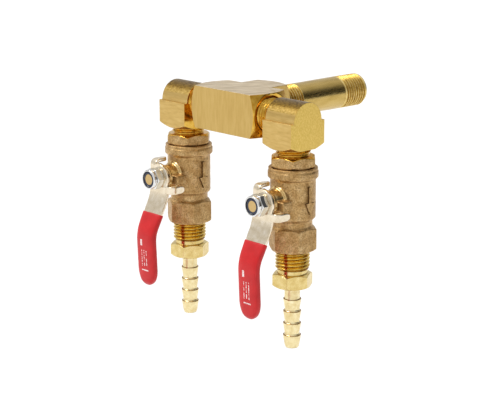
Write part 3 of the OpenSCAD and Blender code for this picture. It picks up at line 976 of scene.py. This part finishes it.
def nut(side, sign):
    low, high = -nut_high.y, -nut_low.y
    lip, collar, waist, flats = 3.38, 4.2, 3.45, 8.0
    bm = revolve([
        (STEM_R, low), (3.7, low), *hexagon(flats, low + 0.25, low + 3.55, turned=0.2),
        (waist, low + 3.6), (waist, low + 3.85), (collar - 0.1, low + 3.95), (collar, low + 4.2),
        (collar - 0.03, high - 0.55), (collar - 0.2, high - 0.18), (collar - 0.45, high),
        (lip + 0.1, high), (lip, high - 0.12), (lip, high - 1.8), (STEM_R, high - 1.8),
    ])
    at_stem(bm, sign * VALVE_X)
    piece(f"{side}_nut", bm, f"{side}_handle", f"{side}_handle_nut", [chrome],
          bevel=0.08)


def insert(side, sign):
    """Nylon ring in the nut's collar, with a lip over the chamfer of the stem."""
    high = -nut_low.y
    outer, lip = 3.33, 2.23
    bm = revolve([(2.48, high - 1.75), (outer, high - 1.75), (outer, high - 0.65),
                  (outer - 0.18, high - 0.43), (2.7, high - 0.34), (lip, high - 0.34),
                  (lip, high - 0.38), (STEM_R, high - 0.65)])
    at_stem(bm, sign * VALVE_X)
    piece(f"{side}_insert", bm, f"{side}_handle", f"{side}_nut_insert", [nylon],
          sharp=50)


# Pieces that stay the CAD's own, and what each is made of.
INNER_PARTS = (
    ("upper_seat", seat_white), ("lower_seat", seat_white), ("ball", ball_plate),
    ("stem", stem_end), ("thrust_washer", seat_white), ("stem_o_ring", seal_black),
)

tee()
nipple()
for side, sign in SIDES:
    elbow(side, sign)
    tailpiece(side, sign)
    valve_body(side, sign)
    hose_barb(side, sign)
    lever(side, sign)
    sleeve(side, sign)
    nut(side, sign)
    insert(side, sign)
    for node, material in INNER_PARTS:
        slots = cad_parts[f"{side}_{node}"].data.materials
        slots.clear()
        slots.append(material)


# ---------------------------------------------------------------------------------------
# Floor, light and camera
# ---------------------------------------------------------------------------------------
def floor():
    m = Maker("floor_white", (0.93, 0.93, 0.93), 0.0, 0.9)
    m.color(m.ramp(m.noise(400.0), [(0.3, (0.92, 0.92, 0.92)), (0.7, (0.94, 0.94, 0.94))]))
    half, height = 8.0, cad_low[2] - 0.16
    corners = [(x * half, y * half, height) for x, y in ((-1, -1), (1, -1), (1, 1), (-1, 1))]
    mesh = bpy.data.meshes.new("floor")
    mesh.from_pydata(corners, [], [(0, 1, 2, 3)])
    plane = bpy.data.objects.new("floor", mesh)
    plane.data.materials.append(m.material)
    bpy.context.collection.objects.link(plane)


def ramp_levels(ramp, stops):
    """Fills a colour ramp with greys."""
    points = ramp.color_ramp.elements
    points.remove(points[0])
    for place, _ in stops[1:]:
        points.new(place)
    for point, (place, level) in zip(points, stops):
        point.position, point.color = place, (level, level, level, 1)


def studio():
    """A room that is pale overhead and dimmer at the sides, darkest toward +X and +Y, and a
    broad lamp above. The camera sees a plain white backdrop past the floor."""
    world = bpy.data.worlds.new("studio")
    world.use_nodes = True
    tree = world.node_tree
    add, join = tree.nodes.new, tree.links.new
    sight = add("ShaderNodeTexCoord").outputs["Generated"]
    split = add("ShaderNodeSeparateXYZ")
    join(sight, split.inputs["Vector"])
    height = add("ShaderNodeValToRGB")
    join(split.outputs["Z"], height.inputs["Fac"])
    ramp_levels(height, ((0.0, 0.9), (0.15, 0.8), (0.4, 0.68), (0.7, 0.82), (1.0, 1.0)))
    toward = add("ShaderNodeVectorMath")
    toward.operation = "DOT_PRODUCT"
    toward.inputs[1].default_value = (0.707, 0.707, 0)
    join(sight, toward.inputs[0])
    corner = add("ShaderNodeValToRGB")
    join(toward.outputs["Value"], corner.inputs["Fac"])
    ramp_levels(corner, ((0.0, 1.0), (0.5, 0.92), (0.71, 0.65), (0.82, 0.24), (0.89, 0.06),
                         (1.0, 0.04)))
    both = add("ShaderNodeMix")
    both.data_type, both.blend_type = "RGBA", "MULTIPLY"
    both.inputs["Factor"].default_value = 1.0
    join(height.outputs["Color"], both.inputs[6])
    join(corner.outputs["Color"], both.inputs[7])
    backdrop = add("ShaderNodeMix")
    backdrop.data_type = "RGBA"
    join(add("ShaderNodeLightPath").outputs["Is Camera Ray"], backdrop.inputs["Factor"])
    join(both.outputs[2], backdrop.inputs[6])
    backdrop.inputs[7].default_value = (1, 1, 1, 1)
    join(backdrop.outputs[2], tree.nodes["Background"].inputs["Color"])
    bpy.context.scene.world = world
    sun = bpy.data.lights.new("overhead", "SUN")
    sun.energy, sun.angle = 1.6, math.radians(28)
    lamp = bpy.data.objects.new("overhead", sun)
    lamp.rotation_mode = "QUATERNION"
    lamp.rotation_quaternion = Vector((0.35, 0.4, -0.85)).to_track_quat("-Z", "Y")
    bpy.context.collection.objects.link(lamp)
    bpy.context.scene.view_settings.view_transform = "Standard"


def camera():
    azimuth, elevation, distance = math.radians(46.7), math.radians(13.94), 0.6
    target = TEE_CENTRE + Vector((0.00946, -0.00285, -0.0356))  # middle of the picture
    level = math.cos(elevation)
    back = Vector((math.sin(azimuth) * level, -math.cos(azimuth) * level, math.sin(elevation)))
    data = bpy.data.cameras.new("camera")
    data.lens, data.sensor_width = 107.5, 36
    data.clip_start, data.clip_end = 0.05, 20
    viewer = bpy.data.objects.new("camera", data)
    viewer.location = target + back * distance
    viewer.rotation_mode = "QUATERNION"
    viewer.rotation_quaternion = (-back).to_track_quat("-Z", "Y")
    bpy.context.collection.objects.link(viewer)
    bpy.context.scene.camera = viewer


floor()
studio()
camera()
